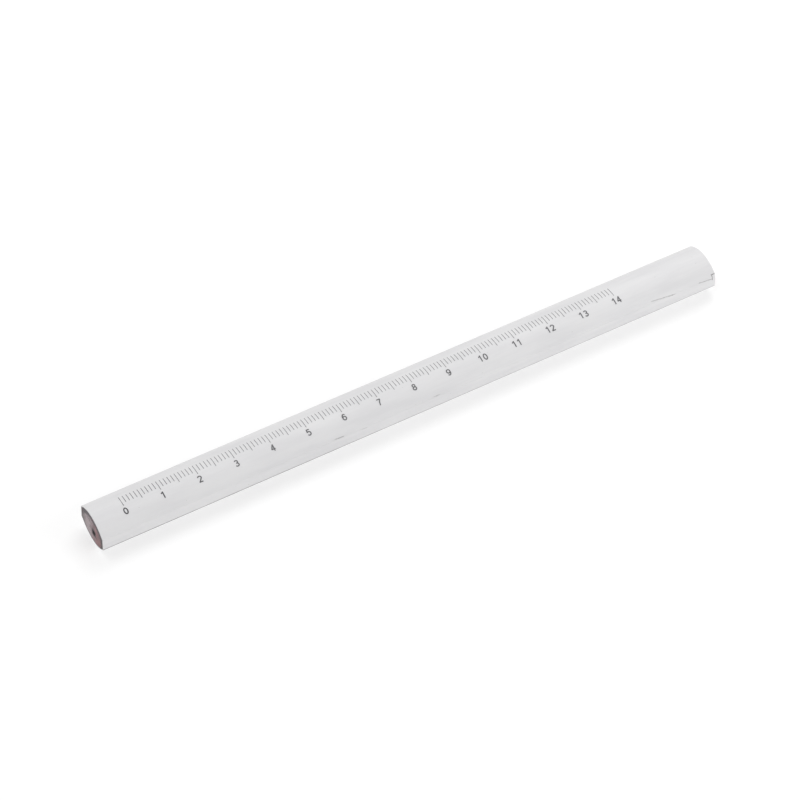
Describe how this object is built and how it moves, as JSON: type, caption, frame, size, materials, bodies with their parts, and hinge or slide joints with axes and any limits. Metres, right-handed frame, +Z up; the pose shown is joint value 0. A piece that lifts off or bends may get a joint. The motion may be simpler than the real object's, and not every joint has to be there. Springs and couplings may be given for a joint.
{
  "type": "carpenter's pencil with centimetre rule",
  "caption": "Flat, unsharpened carpenter's pencil with bowed faces, white lacquer and a printed centimetre rule along its top.",
  "frame": {"origin": "on the resting surface, under the middle of the pencil's length and width", "axes": "+X along the pencil, the way the printed scale counts up; +Z up, through the printed face; -Y is the side that the numerals face"},
  "size_m": [0.1772, 0.0126, 0.0088],
  "materials": {
    "bare_wood": "sawn end grain and machined faces, pinkish brown, dry and matt",
    "graphite": "fired graphite and clay, dark grey with a faint sheen",
    "wood_glue": "dried wood glue, thin amber film",
    "white_lacquer": "dipped white lacquer, soft gloss, slightly uneven, with hairline wear on one edge",
    "black_ink": "thin stamped black ink, slightly uneven"
  },
  "bodies": {
    "root": {"upper_slat": "bare_wood", "lower_slat": "bare_wood", "graphite_lead": "graphite", "glue_film_near": "wood_glue", "glue_film_far": "wood_glue", "lacquer_coat": "white_lacquer", "scale_line_000_mm": "black_ink", "scale_line_005_mm": "black_ink", "scale_line_010_mm": "black_ink", "scale_line_015_mm": "black_ink", "scale_line_020_mm": "black_ink", "scale_line_025_mm": "black_ink", "scale_line_030_mm": "black_ink", "scale_line_035_mm": "black_ink", "scale_line_040_mm": "black_ink", "scale_line_045_mm": "black_ink", "scale_line_050_mm": "black_ink", "scale_line_055_mm": "black_ink", "scale_line_060_mm": "black_ink", "scale_line_065_mm": "black_ink", "scale_line_070_mm": "black_ink", "scale_line_075_mm": "black_ink", "scale_line_080_mm": "black_ink", "scale_line_085_mm": "black_ink", "scale_line_090_mm": "black_ink", "scale_line_095_mm": "black_ink", "scale_line_100_mm": "black_ink", "scale_line_105_mm": "black_ink", "scale_line_110_mm": "black_ink", "scale_line_115_mm": "black_ink", "scale_line_120_mm": "black_ink", "scale_line_125_mm": "black_ink", "scale_line_130_mm": "black_ink", "scale_line_135_mm": "black_ink", "scale_line_140_mm": "black_ink", "numeral_00": "black_ink", "numeral_01": "black_ink", "numeral_02": "black_ink", "numeral_03": "black_ink", "numeral_04": "black_ink", "numeral_05": "black_ink", "numeral_06": "black_ink", "numeral_07": "black_ink", "numeral_08": "black_ink", "numeral_09": "black_ink", "numeral_10_tens": "black_ink", "numeral_10_units": "black_ink", "numeral_11_tens": "black_ink", "numeral_11_units": "black_ink", "numeral_12_tens": "black_ink", "numeral_12_units": "black_ink", "numeral_13_tens": "black_ink", "numeral_13_units": "black_ink", "numeral_14_tens": "black_ink", "numeral_14_units": "black_ink"}
  },
  "joints": []
}
